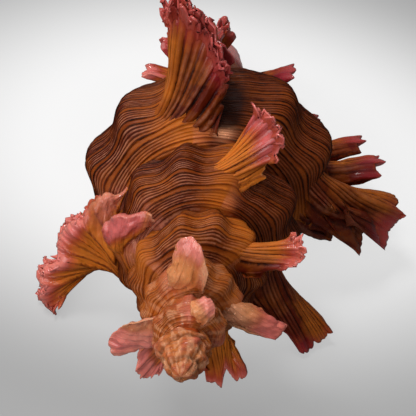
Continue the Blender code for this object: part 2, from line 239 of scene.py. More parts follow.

# How the fronds of each varix look: how dark, partly their own brown and partly painted shade, most
# on varices 0 and 3, how red, how long a part of the frond has to be, as a share of its longest, to
# have pink and frills, and how smooth. The rest are light and smooth.
FROND_LOOKS = {
    0: (1.35, 1.5, 0.72, 0.45), 1: (0.8, 1.25, 0.40, 0.0), 2: (0.1, 0.40, 0.35, 0.42),
    3: (1.5, 1.3, 0.55, 0.42), 4: (0.15, 0.75, 0.55, 0.0), 5: (0.1, 0.6, 0.55, 0.8),
    6: (0.35, 0.35, 0.45, 0.5), 7: (0.55, 0.3, 0.55, 0.0), 9: (0.0, 0.12, 0.40, 0.3),
    10: (0.9, 0.6, 0.55, 1.0),
}
LIGHT_LOOK = (0.0, -0.1, 0.55, 1.0)

# Up to this varix the fronds are large. Beyond it their frills, lobes and lumps shrink, from the
# first size at one varix to the second at another.
LAST_LARGE_VARIX = 3
SMALL_VARICES, SMALL_SIZES = (4, 12), (0.8, 0.45)

# Smoother fronds than this have one rounded rib for each set of cords. Fronds that trail further
# than this, in degrees, have a pink margin at the suture side. Up to this varix the pink starts
# further out at the canal side.
PLAIN_FROM = 0.4
LONG_TRAIL = 30
LAST_LATE_VARIX = 4

# Frills: the leaves' length as a share of the frond, where the first layer stands, and its points.
# On large fronds they rise, tilt, sway, are notched and are thick by these, in millimetres. A
# stretch of edge with fewer points than the last has none.
FRILL_LENGTH, FRILL_PLACE, FRILL_POINTS = 0.11, 0.90, 9
FRILL_RISE, FRILL_TILT, FRILL_SWAY, FRILL_NOTCH, FRILL_THICKNESS = 1.2, 0.5, 0.8, 1.1, 0.30
SHORTEST_FRILLS = 8

# How it lies, as in the solid: leaned, dropped at the canal end, and set down on the floor. Every
# piece stays this far inside the solid's box.
PITCH = -15.1
ROLL = -6.2
SET_DOWN = (-5.940, -43.183, 27.140)
INSIDE = 0.03

# In metres: the floor, with a painted oval pool of light that is wider than it's long and fades
# from one distance to the other, and the lamps as (name, place, width).
FLOOR_WIDTH = 3.0
PATCH_SHIFT, PATCH_SCALE, PATCH_FADE = (0.0, -0.0215, 0.0), (0.74, 1.0, 1.0), (0.022, 0.056)
LAMPS = (("key", (-0.15, 0.08, 0.46), 0.12), ("fill", (-0.20, -0.29, 0.26), 0.34))

# The camera's place in millimetres, its turn in degrees, and its lens and shift in image widths.
CAMERA_PLACE = (-11.82, -128.15, 160.40)
CAMERA_TURN = (40.289, -5.808, 3.549)
CAMERA_LENS, CAMERA_SHIFT = 3.0547, 0.01923
SENSOR = 36.0


def srgb(red, green, blue):
    """A colour written with 0 to 255 as shown on a screen, as linear light."""
    share = np.array((red, green, blue)) / 255
    light = np.where(share <= 0.04045, share / 12.92, ((share + 0.055) / 1.055) ** 2.4)
    return tuple(float(value) for value in light)


def colour(name, description, value):
    """A colour that a user can change, given as shown on a screen."""
    return FloatVectorProperty(
        name=name, description=description, default=srgb(*value), subtype="COLOR", min=0, max=1
    )


def size(name, description, value, low, high):
    """A length that a user can change, given in millimetres."""
    return FloatProperty(
        name=name, description=description, default=value * MM, min=low * MM, max=high * MM,
        unit="LENGTH", precision=5,
    )


def strength(name, description, value, **more):
    """A power or brightness that a user can change."""
    return FloatProperty(name=name, description=description, default=value, min=0, **more)


class MurexRelief(PropertyGroup):
    """Sizes of the cords and of the fronds' edges"""

    cord_pitch: size("Cord pitch", "Distance between cords on the last whorl", 0.42, 0.3, 2.0)
    cord_height: size("Cord height", "Height of the cords above their grooves", 0.22, 0, 1.0)
    rim_thickness: size("Rim thickness", "Thickness of a frond behind its free edge", 1.2, 0.2, 2.0)
    root_thickness: size("Root thickness", "Thickness of a frond at its root", 2.4, 0.5, 4.0)
    lobe_width: size("Lobe width", "Width of the small lobes along a free edge", 2.2, 1.0, 10.0)
    lobe_depth: size("Lobe depth", "Depth of the notches between the small lobes", 1.0, 0, 5.0)
    ruffle_height: size("Ruffle height", "How far a free edge waves to and fro", 0.50, 0, 3.0)
    rib_swell: size("Rib swell", "Height of the rounded ribs of a frond", 0.26, 0, 2.0)
    detail: size("Detail", "Distance between points along a free edge", 0.30, 0.1, 1.0)


class MurexColours(PropertyGroup):
    """Colours of the shell"""

    # The dark colours also show painted shade through the dark share: ridge_dark and groove_dark on
    # the whorls, shaft_dark on the fronds, and groove_dark in the painted shade of the hollows.
    ridge_dark: colour("Dark ridge", "Cords on the last whorl", (104, 36, 10))
    ridge_warm: colour("Warm ridge", "Cords beside the varices and on the spire", (190, 99, 26))
    groove_dark: colour("Dark groove", "Grooves on the last whorl", (24, 2, 0))
    groove_warm: colour("Warm groove", "Grooves on the spire", (98, 30, 2))
    shaft: colour("Shaft", "Shafts of the fronds", (214, 118, 36))
    shaft_dark: colour("Dark shaft", "Shafts on the last varices", (92, 24, 4))
    tip_pink: colour("Tip pink", "Free edges of the fronds", (248, 136, 126))
    tip_red: colour("Tip red", "Folds behind the free edges", (170, 24, 50))
    # Cord tops are partly their own pale tan and partly a painted highlight; on the dark shell they
    # also hold a painted sheen.
    cord_top: colour("Cord top", "Tops of the narrow cords", (194, 112, 56))
    dark_cord_top_and_sheen: colour("Dark cord top and sheen", "Tops of the cords where the shell is dark", (174, 112, 84))
    crust: colour("Crust", "Chalky crust by the sutures and on the spire", (238, 170, 128))
    mouth: colour("Mouth", "Inside of the mouth", (240, 206, 184))


class MurexStage(PropertyGroup):
    """The floor's colours and the light"""

    # The light and dark floor colours paint a pool of light around the shell.
    floor_light: colour("Floor, light", "Floor around the shell", (170, 170, 170))
    floor_dark: colour("Floor, dark", "Floor far from the shell", (116, 116, 116))
    floor_glow: strength("Floor glow", "How brightly the floor shows its own colour", 1.66)
    key_power: strength("Key lamp", "Power of the small lamp above the shell", 1.15, unit="POWER")
    fill_power: strength("Fill lamp", "Power of the wide lamp at the near left", 0.92, unit="POWER")
    sky: strength("Sky", "Brightness of the even light", 0.24)
    backdrop: strength("Backdrop", "Brightness seen behind the floor", 0.6)


def in_millimetres(sizes):
    """The sizes of a property group, from metres to millimetres."""
    return SimpleNamespace(**{name: getattr(sizes, name) / MM for name in sizes.__annotations__})


def growth(turn):
    """Size of the whorl at a turn, as a share of its size at the lip: an exponential curve, whose
    rate falls towards the lip."""
    return np.exp(GROWTH_RATE * turn + GROWTH_SLOWING * turn * turn)


def ease(low, high, value):
    """0 up to low, 1 from high on, and a smooth S between them; high can also lie below low."""
    share = np.clip((value - low) / (high - low), 0, 1)
    return share * share * (3 - 2 * share)


def bump(value, width):
    """A smooth hump: 1 at zero, and nearly nothing from two widths on."""
    return np.exp(-((value / width) ** 2))


def ripple(seed, *coordinates, octaves=3):
    """Smooth noise of about -1 to 1: plane waves with seeded directions, finer and lower by halves."""
    rng = np.random.default_rng(seed)
    total = 0.0
    for octave in range(octaves):
        for _ in range(5):
            direction = rng.normal(size=len(coordinates))
            direction /= np.linalg.norm(direction)
            phase = rng.uniform(0, 2 * math.pi)
            pace = 2.0**octave * rng.uniform(0.7, 1.3)
            along = sum(part * value for part, value in zip(direction, coordinates))
            total = total + np.sin(pace * along + phase) / 2**octave
    return total / 4.0


def unit(vectors):
    """Vectors shortened or stretched to length 1."""
    return vectors / np.maximum(np.linalg.norm(vectors, axis=-1, keepdims=True), 1e-9)


def outline(row):
    """The outline at any row, as a smooth curve (Catmull-Rom) through its points."""
    points = np.array(OUTLINE)
    row = np.clip(row, 0, len(points) - 1.0001)
    index = row.astype(int)
    share = (row - index)[..., None]
    before, here, after, beyond = (
        points[np.clip(index + step, 0, len(points) - 1)] for step in (-1, 0, 1, 2)
    )
    return 0.5 * (
        2 * here
        + (after - before) * share
        + (2 * before - 5 * here + 4 * after - beyond) * share**2
        + (3 * here - before - 3 * after + beyond) * share**3
    )


def after_varix(turn):
    """Share of the way from the last varix to the next: 0 just after one, 1 on the next."""
    return 1 - np.mod(-(turn - LAST_VARIX) / VARIX_SPACING, 1.0)


def swelling(turn, row):
    """Height of the ribs, knobs and varix ridges above the plain whorl, at full size."""
    since = after_varix(turn)
    across = ease(1.0, 2.8, row) * (1 - ease(5.2, 8.0, row))
    knobs = ease(1.6, 3.3, row) * (1 - ease(3.9, 5.8, row))
    ribs = sum(bump(since - place, RIB_WIDTH) for place in RIB_PLACES)
    ridge = ease(0.80, 1.0, since) + 1 - ease(0.0, 0.10, since)
    dip = bump(since - DIP_PLACE, DIP_WIDTH)
    folds = RIB_HEIGHT * ribs + VARIX_HEIGHT * ridge - DIP_DEPTH * dip
    return knobs * KNOB_HEIGHT * ribs + across * folds


def around(azimuth, radius, height):
    """A point from its azimuth in degrees and its distances from the axis and from the apex."""
    angle = np.radians(azimuth)
    parts = np.broadcast_arrays(-radius * np.cos(angle), height, radius * np.sin(angle))
    return np.stack(parts, -1)


def whorl(turn, row, thickness=0.0, closing=0.0, relief=1.0):
    """Points of the whorl's surface, or of its inside at some thickness below the surface: the
    outline at the row, scaled by the growth and turned about the axis, with its ribs and varices.
    A closing of 1 draws it in to the axis."""
    turn, row = np.broadcast_arrays(np.asarray(turn, float), np.asarray(row, float))
    scale = growth(turn)
    radius, height = np.moveaxis(outline(row), -1, 0)
    base = np.clip((row - WIDEST_ROW) / (CANAL_ROW - WIDEST_ROW), 0, 1)
    narrowing = np.interp(row, NARROWING_ROWS, NARROWING)
    step_in = OUTLINE[WIDEST_ROW][0] * growth(turn - 1) - OUTLINE[SUTURE_ROW][0] * scale
    tuck = np.minimum(0, step_in) * (1 - ease(1.0, 2.6, row))
    radius *= 1 + EARLY_WIDTH * ease(EARLY_WIDTH_TURN, APEX_TURN, turn)
    radius = radius * scale * np.maximum(scale, NARROWING_LIMIT) ** (narrowing - 1)
    radius = radius + relief * scale * swelling(turn, row) + tuck
    radius = np.maximum(radius - thickness, 0) * (1 - closing)
    height = height * scale ** (1 - 0.9 * base)
    points = around(LIP_AZIMUTH + 360 * turn, radius, height)
    points[..., 2] -= CANAL_DROP * np.clip((height - CANAL_DROP_FROM) / CANAL_DROP_OVER, 0, 2) ** 2
    return points


def at_rest(points):
    """Points from millimetres about the shell's axis to metres on the floor."""
    lean, drop = math.radians(ROLL), math.radians(PITCH)
    about_y = np.array(
        ((math.cos(lean), 0, math.sin(lean)), (0, 1, 0), (-math.sin(lean), 0, math.cos(lean)))
    )
    about_x = np.array(
        ((1, 0, 0), (0, math.cos(drop), -math.sin(drop)), (0, math.sin(drop), math.cos(drop)))
    )
    return (points @ (about_y @ about_x).T + SET_DOWN) * MM


def cord_pitch(relief, varix):
    """Distance between the cords at a varix, in millimetres before it's scaled by the growth."""
    return relief.cord_pitch * (EARLY_CORDS if varix >= EARLY_VARIX else 1.0)


def outline_length(row):
    """How far a row lies from the buried seam, measured along the outline."""
    rows = np.linspace(0, END_ROW, OUTLINE_STEPS)
    steps = np.linalg.norm(np.diff(outline(rows), axis=0), axis=1)
    return np.interp(row, rows, np.concatenate(([0], np.cumsum(steps))))


def even_rows(first_row, last_row, count):
    """Rows spaced evenly along the outline."""
    rows = np.linspace(first_row, last_row, OUTLINE_STEPS)
    lengths = outline_length(rows)
    return np.interp(np.linspace(lengths[0], lengths[-1], count), lengths, rows)


def cord_line(count):
    """The running number of a cord, from how many pitches lie before it: whole numbers are
    grooves, and one cord in each set is broad."""
    sets, within = np.divmod(count, SET_SIZE)
    narrow = np.minimum(within, NARROW_CORDS)
    broad = np.maximum(within - NARROW_CORDS, 0) / BROAD_CORD
    return sets * (NARROW_CORDS + 1) + narrow + broad


def groove_depth(line):
    """How deep the nearest groove is, from 0 to 1."""
    depths = np.random.default_rng(3).uniform(SHALLOWEST, DEEPEST, GROOVES)
    main = np.arange(len(depths)) % (NARROW_CORDS + 1) % NARROW_CORDS == 0
    depths[main] = 1.0
    return depths[np.rint(line).astype(int) % len(depths)]


def narrow_cord(line):
    """1 on the narrow cords and 0 on the broad one of each set."""
    return (np.mod(line, NARROW_CORDS + 1) < NARROW_CORDS).astype(float)


def groove_cut(line):
    """1 at the bottom of a groove and 0 on a cord."""
    return bump(line - np.rint(line), GROOVE_WIDTH)


def rib_count(line, plain):
    """The running number of a frond's rounded ribs: four for each set of cords, or one on plain
    fronds."""
    sets, within = np.divmod(line, NARROW_CORDS + 1)
    if plain:
        return sets + within / (NARROW_CORDS + 1)
    return 4 * sets + np.interp(within, (0, 1, 2, 4, 5), (0, 0.8, 1.6, 3, 4))


def normals(points):
    """Directions square to a grid of points, from the slopes along both of its parameters."""
    return unit(np.cross(np.gradient(points, axis=0), np.gradient(points, axis=1)))


class Skin:
    """Collects grids of points and makes one mesh of them.

    Each grid brings its cord line and growth line, as the two coordinates of the map "cords", and
    the shares named below, which the material reads by name.
    """

    SHARES = ("dark", "pink", "red", "pale", "shaft", "groove", "narrow", "shade")

    def __init__(self):
        self.points, self.lines, self.faces, self.count = [], [], [], 0
        self.shares = {name: [] for name in self.SHARES}

    def add(self, points, line, along, flip=False, faces=None, **shares):
        """Adds a grid. Its faces look along the cross product of its two directions, or against
        it if flipped; other faces can be given instead."""
        rows, columns = points.shape[:2]
        index = np.arange(rows * columns).reshape(rows, columns)
        if faces is None:
            faces = grid_faces(index)
        if flip:
            faces = faces[:, ::-1]
        self.points.append(points.reshape(-1, 3))
        lines = np.broadcast_arrays(along, line, points[..., 0])[:2]
        self.lines.append(np.stack(lines, -1).reshape(-1, 2))
        self.faces.append(faces + self.count)
        for name, kept in self.shares.items():
            value = np.broadcast_to(shares.get(name, 0.0), (rows, columns))
            kept.append(np.clip(value, 0, 1).reshape(-1))
        self.count += rows * columns

    def add_leaf(self, front, back, line, along, **shares):
        """Adds a thin closed body between two grids, with a rim all round."""
        rows, columns = front.shape[:2]
        index = np.arange(rows * columns).reshape(rows, columns)
        rim = np.concatenate([index[:, 0], index[-1, 1:], index[-2::-1, -1], index[0, -2:0:-1]])
        onward = np.roll(rim, -1)
        other = rows * columns
        side = np.stack([rim, rim + other, onward + other, onward], -1)
        faces = np.concatenate([grid_faces(index), grid_faces(index)[:, ::-1] + other, side])
        doubled = {
            name: np.concatenate([np.broadcast_to(value, (rows, columns))] * 2)
            for name, value in {"line": line, "along": along, **shares}.items()
        }
        self.add(np.concatenate([front, back]), faces=faces, **doubled)

    def make(self, name, material):
        """The mesh object, smooth, at rest on the floor, riding on the shell's solid and nowhere
        reaching past it."""
        low, high = np.array(SOLID_BOX)
        points = at_rest(np.concatenate(self.points))
        points = np.clip(points, low + INSIDE * MM, high - INSIDE * MM)
        faces = np.concatenate(self.faces)
        mesh = bpy.data.meshes.new(name)
        mesh.vertices.add(len(points))
        mesh.vertices.foreach_set("co", points.astype(np.float32).ravel())
        mesh.loops.add(faces.size)
        mesh.loops.foreach_set("vertex_index", faces.astype(np.int32).ravel())
        mesh.polygons.add(len(faces))
        mesh.polygons.foreach_set("loop_start", np.arange(0, faces.size, 4, dtype=np.int32))
        mesh.update(calc_edges=True)
        lines = np.concatenate(self.lines)[faces.ravel()]
        mesh.uv_layers.new(name="cords").data.foreach_set("uv", lines.astype(np.float32).ravel())
        for share, kept in self.shares.items():
            layer = mesh.attributes.new(share, "FLOAT", "POINT")
            layer.data.foreach_set("value", np.concatenate(kept).astype(np.float32))
        mesh.materials.append(material)
        mesh.shade_smooth()
        if mesh.validate(clean_customdata=False):
            raise RuntimeError(f"{name} has faces that don't hold together")
        piece = bpy.data.objects.new(name, mesh)
        bpy.context.scene.collection.objects.link(piece)
        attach(piece, "root")
        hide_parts("shell")
        return piece


def grid_faces(index):
    """Four-sided faces between the neighbours of a grid of point numbers."""
    corners = (index[:-1, :-1], index[1:, :-1], index[1:, 1:], index[:-1, 1:])
    return np.stack(corners, -1).reshape(-1, 4)


def near_varix(turn):
    """1 on a varix and in front of it, and 0 between varices."""
    since = after_varix(turn)
    return ease(0.70, 0.98, since) + 1 - ease(0.02, 0.16, since)


def suture_crust(turn, row):
    """Grainy pink crust at the suture: 1 from each crusted varix on, eased in just before it and
    out a little after it."""
    crusted = sum(
        ease(place - 0.05, place, turn) * (1 - ease(place + 0.06, place + 0.16, turn))
        for place in (LAST_VARIX - VARIX_SPACING * varix for varix in CRUSTED_VARICES)
    )
    grainy = ease(-0.2, 0.5, ripple(16, turn * 90, row * 5, octaves=4))
    return crusted * (1 - ease(1.3, 2.6, row)) * (0.35 + 0.65 * grainy)


def whorl_shares(turn, row, count):
    """The colour shares of the whorls. The last whorl is dark, partly its own brown and partly
    painted shade, the spire warm, and each varix warmer than the stretch before it. A pale callus
    lies at the suture in front of each varix, with crust by some of them and on the early spire.
    The end of the canal is pink."""
    near = near_varix(turn)
    since = after_varix(turn)
    spire = 1 - ease(-3.6, -2.4, turn)
    early = 1 - ease(-4.4, -3.0, turn)
    canal_end = ease(8.3, 9.6, row)

    streaks = 0.3 * ripple(11, turn * 22, count * 0.16) + 0.18 * ripple(12, turn * 9, count * 0.9)
    dark = 0.04 + np.interp(turn, *np.transpose(DARK_BY_TURN)) * (1 - 0.75 * near) + streaks
    dark = dark * (1 - 0.8 * canal_end)

    cloudy = 0.5 + 0.5 * ripple(15, turn * 60, row * 2.0)
    callus = (1 - ease(0.0, 0.16, since)) * ease(0.4, 1.0, row) * (1 - ease(1.3, 2.4, row)) * cloudy
    grains = ease(-0.1, 0.5, ripple(13, turn * 190, count * 0.5))
    crust = spire * (0.05 + (0.4 + 0.3 * early) * grains)
    crusted = suture_crust(turn, row)
    # The crusted roots of the spire's fronds, narrower on the later varices.
    rooted = near ** np.interp(turn, (-3.8, -3.2), (1.2, 3)) * spire * ease(1.2, 2.0, row)
    rooted = rooted * (0.3 + 0.7 * cloudy)
    blush = ease(-0.3, 0.5, ripple(14, turn * 40, count * 0.3))
    pink = early * (0.18 * blush + 0.2 * near) + 0.3 * callus + 0.75 * crusted + 0.5 * rooted
    pink = pink + (0.75 + 0.25 * cloudy) * canal_end

    # A glazed patch at the suture just after the varices of the last whorl, and painted shade over
    # the hollow below it.
    glazed = bump(since - 0.17, 0.05) * bump(row - 1.5, 0.45) * ease(-1.2, -0.9, turn)
    shade = bump(since - 0.14, 0.10) * ease(1.4, 2.1, row) * (1 - ease(3.2, 4.8, row))
    pale = np.maximum.reduce([0.35 * callus, 0.75 * crust, 0.6 * crusted, glazed, 0.35 * rooted])
    groove = (0.55 + 0.45 * ease(-3.5, -1.8, turn)) * (1 - 0.4 * callus) * (1 - 0.35 * near)
    return {
        "dark": dark,
        "pink": pink,
        "pale": pale,
        "shaft": 0.45 * near,
        "shade": 1.7 * shade * ease(-1.2, -0.6, turn),
        "groove": groove * (1 - 0.5 * crusted) * (1 - glazed) * (1 - 0.5 * rooted),
    }


def corded_whorl(first_turn, last_turn, last_row, pitch, steps, samples, relief):
    """A stretch of whorl with its cords: the smooth surface, moved outwards on the cords and
    inwards on the grooves, which wander a little along the growth."""
    turn = np.linspace(first_turn, last_turn, steps)[:, None]
    row = even_rows(0.0, min(last_row, CORDS_END_ROW), samples)
    if last_row > CORDS_END_ROW:
        row = np.concatenate([row, even_rows(CORDS_END_ROW, last_row, CANAL_SAMPLES)[1:]])
    row = row[None, :]
    points = whorl(turn, row, closing=0.45 * (1 - ease(0.0, 0.7, row)))
    wander = CORD_WANDER * ripple(21, turn * 30, row * 1.5, octaves=2)
    count = outline_length(row) / pitch + wander
    line = cord_line(count)
    depth = groove_depth(line)
    # Beside a varix the fine grooves fade, and the deep ones stay.
    near = near_varix(turn)
    depth = depth * (1 - near * (depth < 0.7) * 0.7)
    scale = growth(turn)
    height = relief.cord_height * scale**0.6
    uneven = UNEVEN * ripple(22, turn * 160, row * 9, octaves=3)
    crumble = CRUMBLE * (1 - ease(-3.6, -2.6, turn)) * ripple(23, turn * 110, row * 12)
    corded = 1 - ease(FADING_ROW, CORDS_END_ROW, row)
    lift = height * (0.5 - groove_cut(line) * depth) * corded + scale * (uneven + crumble)
    shares = whorl_shares(turn, row, count)
    shares["groove"] = shares["groove"] * (0.35 + 0.65 * depth)
    # The cords' pale tops, partly a painted highlight, fade on the varices, towards the lip and on a
    # stretch a turn behind it.
    faded = (1 - 0.8 * ease(-0.36, -0.27, turn)) * (1 - 0.7 * bump(turn + 1.12, 0.16))
    shares["narrow"] = narrow_cord(line) * (1 - 0.6 * near) * faded
    return points - normals(points) * lift[..., None], line, turn * GROWTH_LINES, shares


class MUREX_OT_whorls(Operator):
    """Build the last whorl, the whorl before it and the spire"""

    bl_idname = "murex.whorls"
    bl_label = "Whorls"

    def execute(self, context):
        relief = in_millimetres(context.scene.murex_relief)
        material = shell_material()
        for name, first, last, last_row, varix, steps, samples in STRETCHES:
            skin = Skin()
            pitch = cord_pitch(relief, varix)
            points, line, along, shares = corded_whorl(
                first, last, last_row, pitch, steps, samples, relief
            )
            skin.add(points, line, along, flip=True, **shares)
            if name == "spire":
                add_apex(skin)
            skin.make(name, material)
        return {"FINISHED"}


def cap_width(up):
    """Width of the first whorls' dome, from -CAP_TUCK inside the next whorl, over 1 at its widest,
    to 0 at the apex."""
    return np.sqrt(1 - np.abs(up) ** 1.4) - 0.35 * ease(0, CAP_TUCK, -up)


def add_apex(skin):
    """The blunt first whorls: a small dome, rough with crust, whose radius and height are lifted
    by the crust, by knobs and by the seam that winds up it. A cone inside closes the spire."""
    azimuth = np.linspace(0, 360, 97)[:, None]
    up = np.linspace(-CAP_TUCK, 1, 50)[None, :]
    scale = growth(APEX_TURN)
    radius = OUTLINE[WIDEST_ROW][0] * (1 + EARLY_WIDTH) * scale * cap_width(up)
    height = CAP_HEIGHT * scale * (1 - up) + CAP_START
    angle = np.radians(azimuth)
    across, along = np.cos(angle), np.sin(angle)
    rough = 0.5 * ripple(31, 5 * across, 5 * along, up * 9, octaves=4)
    crust = ease(-0.2, 0.5, ripple(32, 14 * across, 14 * along, up * 26))
    coil = np.mod(azimuth / 360 + 1.8 * up, 1.0)
    seam = bump(coil - 0.5, 0.10)
    knobs = np.maximum(0, np.cos(5 * angle + 9 * up)) * (1 - bump(coil - 0.5, 0.3))
    lift = (rough + 0.5 * knobs - 0.45 * seam) * cap_width(up)
    points = around(azimuth, radius + lift, height - 0.4 * lift * (1 - up))
    # Painted shade darkens the seam that winds up the dome.
    skin.add(
        points, 9 * up, azimuth * 0.3, pink=0.16 + 0.6 * rough + 0.25 * knobs - 0.3 * seam,
        pale=0.15 + 0.55 * crust, dark=0.1 + 0.5 * seam, groove=0.4, shade=0.3 * seam,
    )
    core = np.linspace(0, 1, 30)[None, :]
    points = around(azimuth, 1.2 + 4.8 * core, 3.0 + 22.0 * core)
    skin.add(points, 0.0, 0.0, flip=True, pink=0.3, dark=0.3)


# A frond before it's shaped, as one value for each place across it, and its shaped leaf: points
# and their directions square to the leaf, cord line, groove depth, length along the edge, share of
# the way from root to edge, 0 at the margins and 1 between them, and length from root to edge.
Sheet = namedtuple("Sheet", "place row root tip forward outward")
Leaf = namedtuple("Leaf", "points facing line fan edge_at share ends reach")


def frond_sheet(varix, first_row, last_row, lead, trail_suture, trail_canal, edge, across):
    """The line of a frond's roots on the whorl and its free edge, from the suture side to the
    canal side. The roots lie behind the varix in the middle and run ahead of it towards both
    ends, by a power of the place."""
    place = np.linspace(-1, 1, across)[:, None]
    row = first_row + (place + 1) / 2 * (last_row - first_row)
    trail = np.where(place < 0, trail_suture, trail_canal)
    ahead = -lead + (lead + trail) * np.abs(place) ** FROND_BEND
    turn = LAST_VARIX - VARIX_SPACING * varix + ahead / 360
    azimuth = LIP_AZIMUTH + 360 * turn
    outward, forward = around(azimuth, 1.0, 0.0), around(azimuth + 90, 1.0, 0.0)
    root = whorl(turn, row, relief=0.6) - outward * FROND_SINK
    points = np.array(edge, float)
    tip = around(*(np.interp(place, points[:, 0], points[:, column]) for column in (1, 2, 3)))
    return Sheet(place, row, root, tip, forward, outward)


def frond_body(sheet, varix, along, relief, seed, small, smooth):
    """The leaf of a frond. Each of its lines leaves the whorl in the direction of growth and bends
    outwards to the lobed free edge, as a cubic curve (Hermite). The leaf is then lifted by ribs
    with rounded tops (the size of a sine), folds at the edge (a sine) and lumps (ripple), and cut
    by grooves. Ribs, folds and grooves keep step with the cords of the whorl."""
    place, root = sheet.place, sheet.root
    share = np.linspace(0, 1, along)[None, :]
    steps = np.linalg.norm(np.diff(sheet.tip[:, 0], axis=0), axis=1)
    edge_at = np.concatenate(([0], np.cumsum(steps)))[:, None]
    line = cord_line(outline_length(sheet.row) / cord_pitch(relief, varix))
    ribs = rib_count(line, smooth > PLAIN_FROM)
    swell = np.abs(np.sin(math.pi * ribs))

    wander = 0.6 * ripple(seed, edge_at / 3.0, octaves=2)
    fine = edge_at / (relief.lobe_width * small) * 2.0 + 2 * wander
    fine = (1 - np.abs(np.sin(math.pi * fine))) ** 2
    ends = 1 - ease(0.86, 1.0, np.abs(place))
    notches = ((1 - swell) ** 2 + 0.3 * fine) * (1 - 0.5 * smooth) + 0.35
    pull = relief.lobe_depth * small * notches * ends
    tip = sheet.tip - unit(sheet.tip - root) * pull[..., None]
    closing = 0.92 * ease(0.82, 1.0, np.abs(place))
    tip = tip + (root - tip) * closing[..., None]

    reach = np.linalg.norm(tip - root, axis=-1, keepdims=True)
    leave = (FROND_FORWARD * sheet.forward + FROND_OUTWARD * sheet.outward) * reach
    way = share[..., None]
    points = (
        (2 * way**3 - 3 * way**2 + 1) * root
        + (way**3 - 2 * way**2 + way) * leave
        + (3 * way**2 - 2 * way**3) * tip
        + (way**3 - way**2) * (tip - root)
    )
    facing = normals(points)
    middle = len(points) // 2
    facing *= -np.sign(np.sum(facing[middle, along // 2] * sheet.forward[middle, 0]))

    main = np.rint(line) % (NARROW_CORDS + 1) % 2 == 0
    fan = np.where(main, 1.0, groove_depth(line) * (1 - 0.5 * ease(0.0, 0.4, share)))
    fan = fan * (1 - 0.4 * ease(0.75, 1.0, share))
    ruffle = relief.ruffle_height * small * (1 - 0.6 * smooth) * share**4 * (
        1.3 * np.sin(math.pi * (ribs + wander)) + 0.6 * ripple(seed + 1, edge_at * 1.6, share * 3)
    )
    grain = FROND_GRAIN * small * ripple(seed + 2, edge_at * 2.2, share * 14)
    lumps = FROND_LUMPS * small * ripple(seed + 3, edge_at * 0.9, share * 6, octaves=4)
    crumbs = FROND_CRUMBS * ripple(seed + 4, edge_at * 4.0, share * 24, octaves=2)
    ribbed = relief.rib_swell * small * (swell**0.7 - 0.5) * ease(0.05, 0.4, share)
    plump = relief.root_thickness * FROND_PLUMPNESS * small * (1 - np.abs(place) ** 2.5)
    plump = plump * (1 - share**3) * ease(0.0, 0.35, share)
    rounded = (ribbed + smooth * plump) * (1 - 0.8 * ease(0.75, 1.0, np.abs(place)))
    cut = FROND_GROOVE * small * (1 - smooth**2) * fan * groove_cut(line)
    lift = ruffle * ends + grain + smooth * (lumps + crumbs) + rounded - cut
    points = points + facing * lift[..., None]
    return Leaf(points, facing, line, fan, edge_at, share, ends, reach[..., 0])


def thicken(leaf, place, relief, scale, smooth):
    """The back of a frond: its front, moved in by a thickness that rounds off towards the edge as
    an ellipse does, earlier on smooth fronds."""
    root, rim = relief.root_thickness, relief.rim_thickness * (1 + 1.2 * smooth)
    start = 0.88 - 0.28 * smooth
    rounding = np.sqrt(1 - 0.96 * np.clip((leaf.share - start) / (1 - start), 0, 1) ** 2)
    rounding = rounding * (1 - 0.75 * ease(0.82 - 0.5 * smooth, 1.0, np.abs(place)))
    thickness = (root + (rim - root) * ease(0, 0.9, leaf.share)) * scale * rounding
    return leaf.points - leaf.facing * thickness[..., None]


def add_frills(skin, leaf, ends, relief, seed, layers, small, shares):
    """Short jagged leaves near the free edge, rising from both faces of the frond one behind
    another, over the longest stretch of the edge where ends isn't near nothing. Each is a strip
    of the frond, lifted off by a power of the way up it and notched by a sine along the edge."""
    gaps = np.flatnonzero(np.concatenate(([0], ends[:, 0], [0])) < 0.04)
    run = np.argmax(np.diff(gaps))
    here = slice(gaps[run], gaps[run + 1] - 1)
    if here.stop - here.start < SHORTEST_FRILLS:
        return
    points, facing, line, edge_at, ends = (
        grid[here] for grid in (leaf.points, leaf.facing, leaf.line, leaf.edge_at, ends)
    )
    dark, red, pink = (shares[name][here, -1:] for name in ("dark", "red", "pink"))
    along = points.shape[1]
    up = np.linspace(0, 1, FRILL_POINTS)[None, :]
    for layer in range(layers):
        pair, behind = divmod(layer, 2)
        side = -0.6 if behind else 1
        start = FRILL_PLACE - 0.07 * pair - 0.03 * behind
        at = np.clip((start + up[0] * FRILL_LENGTH) * (along - 1), 0, along - 1.001)
        low = at.astype(int)
        rest = (at - low)[:, None]
        base = points[:, low] * (1 - rest) + points[:, low + 1] * rest
        lean = facing[:, low]
        phase = edge_at / (relief.lobe_width * small * 0.62)
        phase = phase + 0.8 * ripple(seed + 7 * layer, edge_at / 2.5, octaves=2)
        notch = 0.45 + 0.55 * np.abs(np.sin(math.pi * phase)) ** 0.6
        rise = small * side * (0.10 + FRILL_RISE * up**1.3) * notch
        tilt = FRILL_TILT * small * up**2 * ripple(seed + 7 * layer + 3, edge_at * 2.0, up)
        sway = FRILL_SWAY * small * up**2 * np.sin(2 * math.pi * (phase * 1.3 + 0.2))
        shorten = FRILL_NOTCH * small * up * (1 - notch)
        front = (
            base + lean * ((rise + tilt) * ends)[..., None]
            + unit(np.gradient(base, axis=0)) * (sway * ends)[..., None]
            - unit(base[:, -1:] - base[:, :1]) * shorten[..., None]
        )
        square = normals(front)
        square *= np.sign(np.sum(square * lean, axis=-1, keepdims=True).mean() or 1)
        # Each frill is redder at its foot, in the folds: partly its own crimson and partly painted
        # shade.
        skin.add_leaf(
            front, front - square * (FRILL_THICKNESS * small), line, edge_at + up,
            shaft=1.0, dark=dark, pale=0.06, groove=0.1,
            pink=pink * (0.75 + 0.25 * up**2), red=red * (1.4 - 0.7 * up**2),
        )


